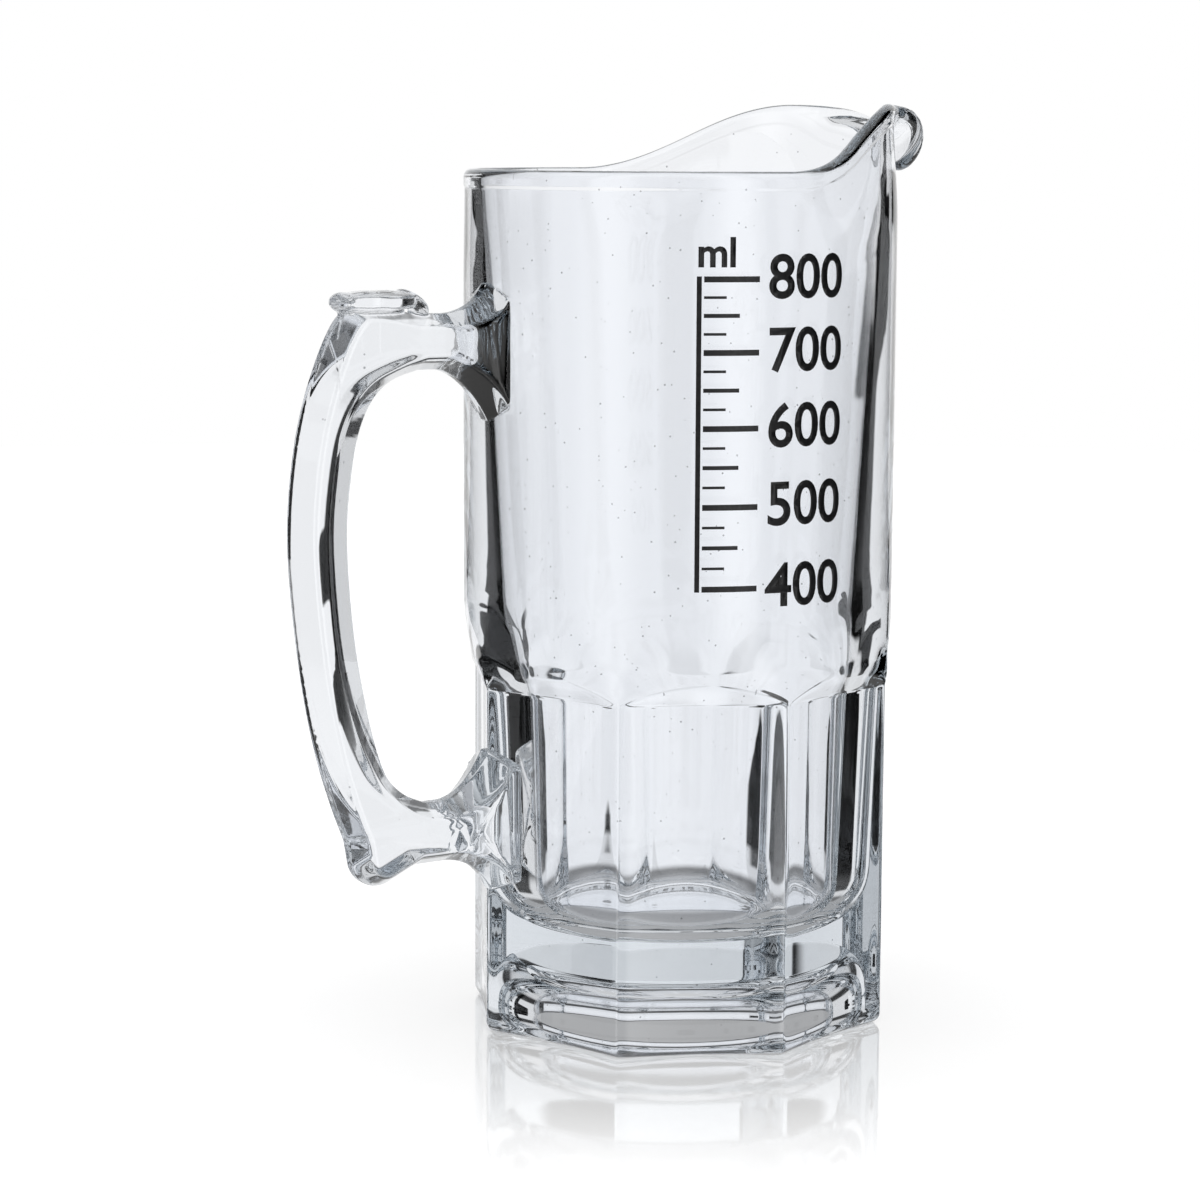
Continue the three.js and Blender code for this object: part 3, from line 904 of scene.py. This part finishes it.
def white_table():
    start_fresh()
    bpy.ops.mesh.primitive_circle_add(vertices=128, radius=TABLE_RADIUS, fill_type="NGON",
                                      location=(AXIS_X * MM, 0, -TABLE_DROP))
    table = bpy.context.object
    table.name = "table"
    bpy.ops.object.transform_apply(location=True)
    table.data.materials.append(table_finish())


# Light: turns are degrees round from the far side, rises are degrees up from the horizon, level 1 is white

VIEW_AZIMUTH = -28.83
DARK_LEVEL = 0.004
# The panel on the far side lights the glass from behind. On the way down it narrows and widens by steps:
# rise where a step begins, rise where it ends, and degrees added on each side.
FAR_PANEL_HALF = 30.0
FAR_PANEL_STEPS = [(-5.5, -7.5, -8.0), (-9.2, -10.8, 15.0), (-13.4, -14.8, -12.0)]
FAR_PANEL_LEVEL = 0.985
FAR_PANEL_UPPER_LEVEL = 0.87 * FAR_PANEL_LEVEL
FAR_PANEL_UPPER_RISE = (6.0, 12.0)
FAR_PANEL_HALO = 0.015
FAR_PANEL_HALO_EDGE = (4.0, 7.0)
PANEL_EDGE = (-1.0, 2.0)
# Smaller panels behind other sides of the object: middle, half width, lowest look down that still meets
# the panel, and level. They spread above the horizon.
SIDE_PANELS = [
    (82, 12, 9, 0.8), (119, 16, 90, 0.75), (152, 18, 90, 0.75),
    (-61, 16, 9, 0.8), (-106, 16, 90, 0.75), (-150, 18, 90, 0.75)]
SIDE_PANEL_SPREAD = 26.0
SIDE_PANEL_SPREAD_RISE = (1.0, 6.0)
SIDE_PANEL_FOOT = 1.5
# All panels end over the object, and a softbox hangs above them.
PANEL_TOP_RISE = (17.0, 22.0)
OVER_PANEL_LEVEL = 0.06
SOFTBOX_RISE = (32.0, 42.0)
SOFTBOX_LEVEL = 0.7
# The white floor is shaded on both sides of the far panel, and again straight below.
FLOOR_RISE = (-17.5, -23.0)
FLOOR_LEVEL = 0.8
FLOOR_SHADE = 0.9
FLOOR_SHADE_FROM = (26.0, 34.0)
FLOOR_SHADE_TO = (68.0, 76.0)
FLOOR_SHADE_RISE = (-38.0, -33.0)
STRAIGHT_DOWN_RISE = (-44.0, -56.0)
STRAIGHT_DOWN_LEVEL = 0.2
# Soft lights before the object that the glass reflects: middle, half width, softness and level.
FRONT_LIGHTS = [(141, 13, 11, 1.6), (-150, 10, 8, 1.9)]
REFLECTED_SOFTBOX_RISE = (33.0, 48.0)
REFLECTED_SOFTBOX_LEVEL = 0.9
REFLECTED_FLOOR_RISE = (-15.0, -30.0)
REFLECTED_FLOOR_LEVEL = 0.7
ROOM_LEVEL = 0.7


def off_middle(shader, turn, middle):
    """How far a direction lies from the middle of a panel, in degrees."""
    middle_turn = VIEW_AZIMUTH + 180 + middle
    off = shader.node("Math", {"operation": "WRAP"}, {0: turn - middle_turn, 1: 180.0, 2: -180.0})
    return abs(off)


def far_panel(shader, turn, rise):
    half = FAR_PANEL_HALF
    for start, end, wider in FAR_PANEL_STEPS:
        half = half + shader.smooth(rise, start, end, 0.0, wider)
    past = off_middle(shader, turn, 0) - half
    panel = (shader.smooth(past, *PANEL_EDGE, 1 - FAR_PANEL_HALO, 0.0)
             + shader.smooth(past, *FAR_PANEL_HALO_EDGE, FAR_PANEL_HALO, 0.0))
    level = shader.smooth(rise, *FAR_PANEL_UPPER_RISE, FAR_PANEL_LEVEL, FAR_PANEL_UPPER_LEVEL)
    return shader.larger(panel * level, DARK_LEVEL)


def light_through_glass(shader, turn, rise):
    """What is seen through the glass: the panels, the softbox above and the floor below."""
    light = far_panel(shader, turn, rise)
    for middle, half, lowest, level in SIDE_PANELS:
        spread = shader.smooth(rise, *SIDE_PANEL_SPREAD_RISE, 0.0, SIDE_PANEL_SPREAD)
        past = off_middle(shader, turn, middle) - (half + spread)
        foot = shader.smooth(rise, -lowest - SIDE_PANEL_FOOT, -lowest, 0.0, level)
        light = shader.larger(light, shader.smooth(past, *PANEL_EDGE, 1.0, 0.0) * foot)
    light = light * shader.smooth(rise, *PANEL_TOP_RISE, 1.0, OVER_PANEL_LEVEL)
    light = shader.larger(light, shader.smooth(rise, *SOFTBOX_RISE, 0.0, SOFTBOX_LEVEL))
    aside = off_middle(shader, turn, 0)
    beside = shader.smooth(aside, *FLOOR_SHADE_FROM)
    beside = beside * shader.smooth(aside, *FLOOR_SHADE_TO, FLOOR_SHADE, 0.0)
    shaded = 1 - beside * shader.smooth(rise, *FLOOR_SHADE_RISE)
    light = shader.larger(light, shader.smooth(rise, *FLOOR_RISE, 0.0, FLOOR_LEVEL) * shaded)
    return light * shader.smooth(rise, *STRAIGHT_DOWN_RISE, 1.0, STRAIGHT_DOWN_LEVEL)


def light_on_glass(shader, turn, rise):
    """What the skin of the glass reflects: the far panel, the front lights, the softbox and the floor."""
    light = far_panel(shader, turn, rise)
    for middle, half, softness, level in FRONT_LIGHTS:
        past = off_middle(shader, turn, middle) - half
        light = shader.larger(light, shader.smooth(past, -softness, softness, level, 0.0))
    light = shader.larger(light, shader.smooth(rise, *REFLECTED_SOFTBOX_RISE, 0.0, REFLECTED_SOFTBOX_LEVEL))
    return shader.larger(light, shader.smooth(rise, *REFLECTED_FLOOR_RISE, 0.0, REFLECTED_FLOOR_LEVEL))


def studio_light():
    """White all round to the eye. Glass shows bright panels with dark cards between them."""
    world = bpy.data.worlds.new("studio")
    bpy.context.scene.world = world
    shader = Shader(world)
    x, y, z = shader.axes(shader.node("TexCoord", output="Generated"))
    turn = shader.node("Math", {"operation": "ARCTAN2"}, {0: x, 1: y * -1}) * math.degrees(1)
    rise = shader.node("Math", {"operation": "ARCSINE"}, {0: z}) * math.degrees(1)
    behind = light_through_glass(shader, turn, rise)
    reflected = light_on_glass(shader, turn, rise)
    seen = shader.rays("Camera")
    through = shader.rays("Transmission")
    glossy = shader.rays("Glossy")
    plain = seen + (1 - seen) * ROOM_LEVEL
    level = through * behind + (1 - through) * (glossy * reflected + (1 - glossy) * plain)
    sky = shader.node("Background", values={"Color": WHITE, "Strength": level})
    shader.node("OutputWorld", values={"Surface": sky})


# Camera at the photograph's view: eye and aim in millimetres, roll in degrees

EYE = (-379.0, -683.7, 205.3)
LOOK_AT = (2.1, 8.7, 97.5)
LENS = 102.14
SENSOR = 36
ROLL = 0.28


def photo_camera():
    data = bpy.data.cameras.new("camera")
    data.lens = LENS
    data.sensor_width = SENSOR
    data.clip_start, data.clip_end = 0.05, 50
    camera = bpy.data.objects.new("camera", data)
    bpy.context.scene.collection.objects.link(camera)
    eye = Vector(EYE) * MM
    aim = Vector(LOOK_AT) * MM
    turn = (aim - eye).to_track_quat("-Z", "Y").to_matrix().to_4x4()
    camera.matrix_world = Matrix.Translation(eye) @ turn @ Matrix.Rotation(math.radians(ROLL), 4, "Z")
    bpy.context.scene.camera = camera


photo_camera()
studio_light()
white_table()

vessel = make_vessel()
vessel.data.materials.append(clear_glass("vessel_clear_glass", VESSEL_SEEDS))
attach(vessel, "root")
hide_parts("vessel")

handle = make_handle()
handle.data.materials.append(clear_glass("handle_clear_glass", HANDLE_SEEDS, SEAM_LINES))
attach(handle, "root")
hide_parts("handle")
fuse(vessel, handle)

measure = make_measure_print()
measure.data.materials.append(black_enamel("measure_enamel"))
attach(measure, "root")

# Light passes many skins of glass on its way through the pitcher.
scene = bpy.context.scene
scene.view_settings.view_transform = "Standard"
scene.cycles.max_bounces = 32
scene.cycles.transmission_bounces = 32
scene.cycles.glossy_bounces = 16
scene.cycles.transparent_max_bounces = 32
